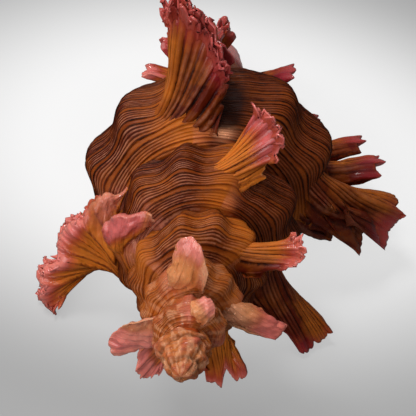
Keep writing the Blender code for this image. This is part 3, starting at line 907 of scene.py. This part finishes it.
def add_frond(skin, where, edge, relief, seed, pink_from, layers, small, samples):
    """One frond with its frills and colour shares: darker towards the suture side and the root, as
    painted shade, pink from pink_from on where it's long enough, and redder towards the canal side."""
    varix, trail_suture = where[0], where[4]
    tone_and_shade, red, long_enough, smooth = FROND_LOOKS.get(varix, LIGHT_LOOK)
    across, along = samples
    sheet = frond_sheet(*where, edge, across)
    leaf = frond_body(sheet, varix, along, relief, seed, small, smooth)
    place, share = sheet.place, leaf.share
    scale = min(1.0, 1.2 * float(growth(LAST_VARIX - VARIX_SPACING * varix)) + 0.2)
    back = thicken(leaf, place, relief, scale * min(1.0, small + 0.2), smooth)

    far = ease(long_enough, long_enough + 0.25, leaf.reach / leaf.reach.max())
    margin = (1 - far) * ease(0.0, 0.5, -place) * ease(0.1, 0.65, share)
    margin = margin * (trail_suture > LONG_TRAIL)
    patchy = ripple(seed + 5, leaf.edge_at * 0.7, share * 4)
    late = 0.12 * ease(0.2, 0.7, place) * (varix <= LAST_LATE_VARIX)
    # The frond's darkness is partly its own brown and partly painted shade.
    capped_tone_and_shade = min(tone_and_shade, 1.0)
    pink = ease(pink_from, pink_from + 0.35, share - late + 0.06 * patchy) * (1 - 0.15 * capped_tone_and_shade)
    chalky = smooth * (0.42 - 0.2 * pink + 0.25 * patchy) * (varix > EARLY_VARIX)
    bleached = 0.2 * (1 - 0.8 * capped_tone_and_shade) * ease(0.92, 1.0, share)
    # Painted shade: darker towards the root and towards the suture side.
    darker = 0.6 - 0.2 * ease(0.1, 0.9, share) + ease(-0.1, 0.8, -place)
    shares = {
        "dark": tone_and_shade * darker + 0.12 * patchy,
        "pink": np.maximum(pink * far, 0.8 * margin),
        "red": red + 0.9 * ease(0.30, 0.7, place) * min(1.0, 3 * red),
        "pale": bleached + chalky + (0.15 + 0.5 * smooth) * margin,
        "shaft": ease(-0.05, 0.3, share),
        "narrow": 0.45 * narrow_cord(leaf.line) * (1 - 0.6 * smooth) * (1 - ease(0.4, 0.9, share)),
        "groove": np.maximum(leaf.fan, 0.65) * (1 - 0.7 * far * pink) * (1 - 0.8 * smooth**2),
    }
    skin.add_leaf(leaf.points, back, leaf.line, share * FROND_LINES, **shares)
    add_frills(skin, leaf, leaf.ends * far, relief, seed, layers, small, shares)


def three_lobes(azimuth, radius, height, width):
    """A small palmate frond's free edge: three short lobes between two drawn-back margins."""
    half = width / 2
    return (
        (-1, azimuth + 10, radius * 0.80, height - half), (-0.6, azimuth + 2, radius, height - half),
        (-0.3, azimuth, radius * 0.95, height - half / 2), (0, azimuth, radius * 1.02, height),
        (0.3, azimuth, radius * 0.95, height + half / 2), (0.6, azimuth + 2, radius, height + half),
        (1, azimuth + 10, radius * 0.80, height + half),
    )


def edge_length(edge):
    """Length of a free edge: the sum of the straight lines between its points."""
    points = np.array(edge, float)
    tips = around(points[:, 1], points[:, 2], points[:, 3])
    return float(np.linalg.norm(np.diff(tips, axis=0), axis=1).sum())


class MUREX_OT_fronds(Operator):
    """Build the leafy fronds of every varix and the small ones down the canal"""

    bl_idname = "murex.fronds"
    bl_label = "Fronds"

    def execute(self, context):
        relief = in_millimetres(context.scene.murex_relief)
        material = shell_material()
        groups = (("last_fronds", (0, 1)), ("left_fronds", (2, 3)), ("spire_fronds", range(4, 16)))
        for name, varices in groups:
            skin = Skin()
            for number, (*where, pink_from, layers, edge) in enumerate(LEAVES):
                varix = where[0]
                if varix not in varices:
                    continue
                small = float(np.interp(varix, SMALL_VARICES, SMALL_SIZES))
                fine, along = relief.detail, 32
                if varix <= LAST_LARGE_VARIX:
                    small, fine, along = 1.0, 0.75 * fine, 44
                samples = (int(edge_length(edge) / fine) + 16, along)
                add_frond(
                    skin, where, edge, relief, 100 + 10 * number, pink_from, layers, small, samples
                )
            skin.make(name, material)
        skin = Skin()
        for number, (varix, middle, *tip) in enumerate(BRANCHES):
            rows = (middle - BRANCH_ROWS, middle + BRANCH_ROWS)
            add_frond(
                skin, (varix, *rows, BRANCH_LEAD, BRANCH_TRAIL, BRANCH_TRAIL), three_lobes(*tip),
                relief, 400 + 10 * number, BRANCH_PINK, 0, BRANCH_SIZE, BRANCH_SAMPLES,
            )
        skin.make("canal_fronds", material)
        return {"FINISHED"}


class MUREX_OT_mouth(Operator):
    """Build the inside of the mouth: the pocket behind the lip, the lip's edge and the pillar"""

    bl_idname = "murex.mouth"
    bl_label = "Mouth"

    def execute(self, context):
        skin = Skin()
        turn = np.linspace(POCKET_TURN - 0.03, 0, 70)[:, None]
        row = np.linspace(0.5, END_ROW, 130)[None, :]
        opening = ease(POCKET_TURN, POCKET_TURN + POCKET_OPENING, turn) * ease(0.9, 2.0, row)
        closing = 1 - opening * (1 - ease(7.6, 9.0, row))
        teeth = TOOTH_HEIGHT * (0.5 + 0.5 * np.cos(2 * math.pi * row * TEETH_PER_ROW))
        teeth = teeth * bump(turn - TOOTH_TURN, 0.03)
        inside = whorl(turn, row, thickness=WALL + teeth, closing=closing)
        skin.add(inside, row, turn * MOUTH_LINES)
        rim = np.stack([whorl(0.0, row[0]), inside[-1]])
        skin.add(rim, row, np.array([[0.0], [1.0]]), flip=True)
        turn = np.linspace(*PILLAR_TURNS, 60)[:, None]
        row = np.linspace(PILLAR_ROW, END_ROW, 120)[None, :]
        pillar = whorl(turn, row, thickness=0.4 * (1 - ease(5.0, 6.5, row)))
        skin.add(pillar, row, turn * MOUTH_LINES, flip=True)
        skin.make("mouth", mouth_material())
        return {"FINISHED"}


class Nodes:
    """Short ways to add the nodes of a tree. Each value given is a number, a colour or a socket."""

    def __init__(self, tree):
        self.tree = tree

    def join(self, inputs, values):
        """Sets inputs to values, or joins them to sockets."""
        for name, value in values.items():
            if isinstance(value, bpy.types.NodeSocket):
                self.tree.links.new(value, inputs[name])
            else:
                inputs[name].default_value = value

    def add(self, kind, values=None, **settings):
        """A node with its settings and the values of its inputs."""
        node = self.tree.nodes.new("ShaderNode" + kind)
        for name, value in settings.items():
            setattr(node, name, value)
        self.join(node.inputs, values or {})
        return node

    def group(self, name, fill, **values):
        """A shader group with the values of its inputs. The first time, it's made: fill is given
        its inputs, adds its nodes and gives back its outputs."""
        tree = bpy.data.node_groups.get(name)
        if tree is None:
            tree = bpy.data.node_groups.new(name, "ShaderNodeTree")
            for socket in values:
                tree.interface.new_socket(socket, in_out="INPUT", socket_type="NodeSocketFloat")
            nodes = Nodes(tree)
            filled = fill(nodes, tree.nodes.new("NodeGroupInput").outputs)
            for socket in filled:
                tree.interface.new_socket(socket, in_out="OUTPUT", socket_type="NodeSocketFloat")
            nodes.join(tree.nodes.new("NodeGroupOutput").inputs, filled)
        return self.add("Group", values, node_tree=tree).outputs

    def maths(self, operation, first, second=0.0, clamped=False):
        values = {0: first, 1: second}
        return self.add("Math", values, operation=operation, use_clamp=clamped).outputs[0]

    def plus(self, first, second, clamped=False):
        return self.maths("ADD", first, second, clamped)

    def minus(self, first, second):
        return self.maths("SUBTRACT", first, second)

    def times(self, first, second, clamped=False):
        return self.maths("MULTIPLY", first, second, clamped)

    def larger(self, first, second, clamped=False):
        return self.maths("MAXIMUM", first, second, clamped)

    def smooth(self, value, low, high):
        """0 below low, 1 above high, smooth between."""
        values = {"Value": value, "From Min": low, "From Max": high}
        return self.add("MapRange", values, interpolation_type="SMOOTHSTEP").outputs["Result"]

    def noise(self, place, scale, detail, roughness):
        """Clouds of 0 to 1 about a place."""
        values = {"Vector": place, "Scale": scale, "Detail": detail, "Roughness": roughness}
        return self.add("TexNoise", values).outputs["Fac"]

    def blend(self, share, first, second):
        """First colour where share is 0, second where it is 1."""
        first, second = (
            value if isinstance(value, bpy.types.NodeSocket) else (*value, 1.0)
            for value in (first, second)
        )
        return self.add("Mix", {0: share, 6: first, 7: second}, data_type="RGBA").outputs[2]

    def share(self, name):
        """A share that the piece's points carry."""
        return self.add("Attribute", attribute_name=name).outputs["Fac"]

    def place(self):
        """A point's place on the piece, in metres."""
        return self.add("TexCoord").outputs["Object"]


def cord_grooves(nodes, into):
    """Dark grooves with uneven edges at the whole numbers of the cord line, and the tops of the
    cords between them."""
    spot = nodes.add("CombineXYZ", {"X": into["Growth"], "Y": into["Line"]}).outputs[0]
    wander = nodes.noise(spot, 0.9, 4.0, 0.6)
    line = nodes.plus(into["Line"], nodes.times(nodes.minus(wander, 0.5), 0.35))
    beside = nodes.maths("ABSOLUTE", nodes.minus(line, nodes.maths("ROUND", line)))
    edge = nodes.maths("DIVIDE", beside, into["Width"])
    cut = nodes.minus(1.0, nodes.smooth(edge, 0.35, 1.0))
    uneven = nodes.noise(spot, 0.33, 5.0, 0.65)
    kept = {"Value": uneven, "From Min": 0.36, "From Max": 0.58, "To Min": 0.6, "To Max": 1.0}
    kept = nodes.add("MapRange", kept).outputs["Result"]
    return {
        "Mask": nodes.times(nodes.times(cut, into["Strength"]), kept),
        "Top": nodes.times(nodes.smooth(beside, 0.20, 0.40), nodes.smooth(uneven, 0.66, 0.40)),
        "Height": nodes.times(cut, -1.0),
    }


def grown_grain(nodes, into):
    """Fine growth lines across the cords, pale specks here and there, partly grains of chalk and
    partly painted glints, and soft patches.
    """
    along = nodes.times(into["Growth"], 5.0)
    spot = nodes.add("CombineXYZ", {"X": along, "Y": into["Line"]}).outputs[0]
    place = nodes.place()
    grains = nodes.noise(place, 2600.0, 3.0, 0.6)
    level = nodes.minus(0.715, nodes.times(into["Chalk"], 0.22))
    return {
        "Height": nodes.plus(nodes.noise(spot, 1.6, 3.0, 0.65), grains),
        "Specks": nodes.smooth(nodes.minus(grains, level), 0.0, 0.05),
        "Mottle": nodes.smooth(nodes.noise(place, 260.0, 5.0, 0.6), 0.35, 0.68),
    }


def new_material(name):
    """A material, the nodes of its tree and the inputs of its surface."""
    material = bpy.data.materials.new(name)
    material.use_nodes = True
    tree = material.node_tree
    return material, Nodes(tree), tree.nodes["Principled BSDF"].inputs


def shell_material():
    """The shell: cords between dark grooves, warm shafts, pink tips over red folds, chalky crust."""
    name = "corded shell"
    if name in bpy.data.materials:
        return bpy.data.materials[name]
    colours = bpy.context.scene.murex_colours
    material, nodes, surface = new_material(name)
    lines = nodes.add("UVMap", uv_map="cords").outputs["UV"]
    along, line = nodes.add("SeparateXYZ", {"Vector": lines}).outputs[:2]
    dark, pink, red, pale, shaft, groove, narrow, shade = map(nodes.share, Skin.SHARES)
    grain = nodes.group("grown grain", grown_grain, Growth=along, Line=line, Chalk=pale)
    width = nodes.minus(0.29, nodes.times(shaft, 0.11))
    cords = nodes.group(
        "cord grooves", cord_grooves, Growth=along, Line=line, Strength=groove, Width=width
    )
    mottle = grain["Mottle"]

    # The shell without its tips: ridges, then shafts, then pale tops that are partly a painted
    # highlight, then grooves; all darken with the dark share, which holds painted shade too.
    darkness = nodes.plus(dark, nodes.times(nodes.minus(mottle, 0.5), 0.35), clamped=True)
    golden = nodes.plus(0.82, nodes.times(narrow, 0.18))
    ridge = nodes.blend(nodes.times(darkness, golden), colours.ridge_warm, colours.ridge_dark)
    ridge = nodes.blend(shaft, ridge, nodes.blend(darkness, colours.shaft, colours.shaft_dark))
    top = nodes.times(nodes.times(cords["Top"], narrow), 0.85)
    ridge = nodes.blend(top, ridge, nodes.blend(darkness, colours.cord_top, colours.dark_cord_top_and_sheen))
    trough = nodes.blend(darkness, colours.groove_warm, colours.groove_dark)
    whole = nodes.blend(cords["Mask"], ridge, trough)

    # The tips: red where the pink begins and in the folds, where it is partly painted shade, and
    # pink at the free edge.
    rosy = nodes.blend(nodes.smooth(pink, 0.45, 1.0), colours.tip_red, colours.tip_pink)
    inwards = nodes.minus(1.25, nodes.times(pink, 0.55))
    redder = nodes.larger(nodes.times(mottle, 0.30), nodes.times(red, inwards), clamped=True)
    whole = nodes.blend(pink, whole, nodes.blend(redder, rosy, colours.tip_red))

    # Chalk over both, with pale specks that are partly painted glints, and painted shade in the
    # hollows.
    specks_and_glints = nodes.times(grain["Specks"], nodes.plus(0.35, pale), clamped=True)
    chalk = nodes.larger(specks_and_glints, nodes.times(pale, 0.8))
    whole = nodes.blend(chalk, whole, colours.crust)
    gloss = nodes.minus(0.32, nodes.times(pink, 0.16))
    height = nodes.plus(nodes.times(grain["Height"], 0.5), cords["Height"])
    relief = nodes.add("Bump", {"Strength": 0.5, "Distance": 0.00014, "Height": height})
    nodes.join(surface, {
        "Base Color": nodes.blend(nodes.times(shade, 0.9), whole, colours.groove_dark),
        "Coat Weight": nodes.times(pink, 0.85),
        "Coat Roughness": 0.09,
        "Roughness": nodes.plus(gloss, nodes.times(mottle, 0.10)),
        "Normal": relief.outputs["Normal"],
        "Specular IOR Level": 0.13,
        "Subsurface Weight": 0.12,
        "Subsurface Radius": (1.0, 0.35, 0.2),
        "Subsurface Scale": 0.0008,
    })
    return material


def mouth_material():
    """The mouth: smooth pale glaze, warmer in soft patches."""
    colours = bpy.context.scene.murex_colours
    material, nodes, surface = new_material("mouth glaze")
    warm = nodes.smooth(nodes.noise(nodes.place(), 180.0, 4.0, 0.5), 0.4, 0.75)
    nodes.join(surface, {
        "Base Color": nodes.blend(nodes.times(warm, 0.5), colours.mouth, colours.tip_pink),
        "Roughness": nodes.plus(0.22, nodes.times(warm, 0.1)),
    })
    return material


def floor_material(stage):
    """Pale floor with a painted pool of light about the shell that darkens smoothly away from it,
    and shows its colour evenly to the camera."""
    material, nodes, surface = new_material("floor")
    patch = {"Vector": nodes.place(), "Location": PATCH_SHIFT, "Scale": PATCH_SCALE}
    patch = nodes.add("Mapping", patch, vector_type="POINT").outputs[0]
    away = nodes.add("VectorMath", {0: patch}, operation="LENGTH").outputs["Value"]
    shown = nodes.blend(nodes.smooth(away, *PATCH_FADE), stage.floor_light, stage.floor_dark)
    seen = nodes.add("LightPath").outputs["Is Camera Ray"]
    nodes.join(surface, {
        "Base Color": nodes.blend(0.3, shown, (0.0, 0.0, 0.0)),
        "Emission Color": shown,
        "Emission Strength": nodes.times(seen, stage.floor_glow),
        "Roughness": 0.9,
        "Specular IOR Level": 0.1,
    })
    return material


def sky(stage):
    """Even light from all round, brighter where the camera sees it."""
    world = bpy.data.worlds.new("sky")
    world.use_nodes = True
    nodes = Nodes(world.node_tree)
    seen = nodes.add("LightPath").outputs["Is Camera Ray"]
    brightness = nodes.larger(nodes.times(seen, stage.backdrop), stage.sky)
    background = world.node_tree.nodes["Background"].inputs
    nodes.join(background, {"Color": (1, 1, 1, 1), "Strength": brightness})
    return world


def set_up(name, data, place, turn):
    """An object in the scene, at its place in metres and its turn as angles about X, Y and Z."""
    thing = bpy.data.objects.new(name, data)
    thing.location = place
    thing.rotation_euler = turn
    bpy.context.scene.collection.objects.link(thing)
    return thing


class MUREX_OT_stage(Operator):
    """Set the pale floor, the soft lamps and the camera"""

    bl_idname = "murex.stage"
    bl_label = "Stage"

    def execute(self, context):
        scene = context.scene
        stage = scene.murex_stage
        half = FLOOR_WIDTH / 2
        mesh = bpy.data.meshes.new("floor")
        corners = ((-half, -half, 0), (half, -half, 0), (half, half, 0), (-half, half, 0))
        mesh.from_pydata(corners, [], [(0, 1, 2, 3)])
        mesh.materials.append(floor_material(stage))
        floor = set_up("floor", mesh, (0, 0, 0), (0, 0, 0))

        scene.world = sky(stage)
        for name, place, width in LAMPS:
            light = bpy.data.lights.new(name, "AREA")
            light.size = width
            light.energy = getattr(stage, name + "_power")
            set_up(name, light, place, (-Vector(place)).to_track_quat("-Z", "Y").to_euler())

        lens = bpy.data.cameras.new("camera")
        lens.sensor_width = SENSOR
        lens.lens = SENSOR * CAMERA_LENS
        lens.shift_x, lens.shift_y = CAMERA_SHIFT, -CAMERA_SHIFT
        lens.clip_start = 0.01
        place = [value * MM for value in CAMERA_PLACE]
        turn = [math.radians(value) for value in CAMERA_TURN]
        scene.camera = set_up("camera", lens, place, turn)
        scene.view_settings.view_transform = "Standard"
        return {"FINISHED"}


class MUREX_PT_panel(Panel):
    """Sizes, colours and the pieces to build"""

    bl_label = "Murex"
    bl_idname = "MUREX_PT_panel"
    bl_space_type = "VIEW_3D"
    bl_region_type = "UI"
    bl_category = "Murex"

    def draw(self, context):
        for group in GROUPS:
            values = getattr(context.scene, group)
            box = self.layout.box()
            for name in values.__annotations__:
                box.prop(values, name)
        for operator in OPERATORS:
            self.layout.operator(operator.bl_idname)


GROUPS = {"murex_relief": MurexRelief, "murex_colours": MurexColours, "murex_stage": MurexStage}
OPERATORS = (MUREX_OT_whorls, MUREX_OT_fronds, MUREX_OT_mouth, MUREX_OT_stage)


def register():
    for name, group in GROUPS.items():
        bpy.utils.register_class(group)
        setattr(bpy.types.Scene, name, PointerProperty(type=group))
    for part in (*OPERATORS, MUREX_PT_panel):
        bpy.utils.register_class(part)


def unregister():
    for part in (MUREX_PT_panel, *OPERATORS):
        bpy.utils.unregister_class(part)
    for name, group in GROUPS.items():
        delattr(bpy.types.Scene, name)
        bpy.utils.unregister_class(group)


def plain(box):
    """A box's two corners as plain lists."""
    return [[float(value) for value in corner] for corner in box]


def main():
    register()
    bpy.ops.murex.whorls()
    bpy.ops.murex.fronds()
    bpy.ops.murex.mouth()
    bpy.ops.murex.stage()
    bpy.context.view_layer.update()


if __name__ == "__main__":
    main()
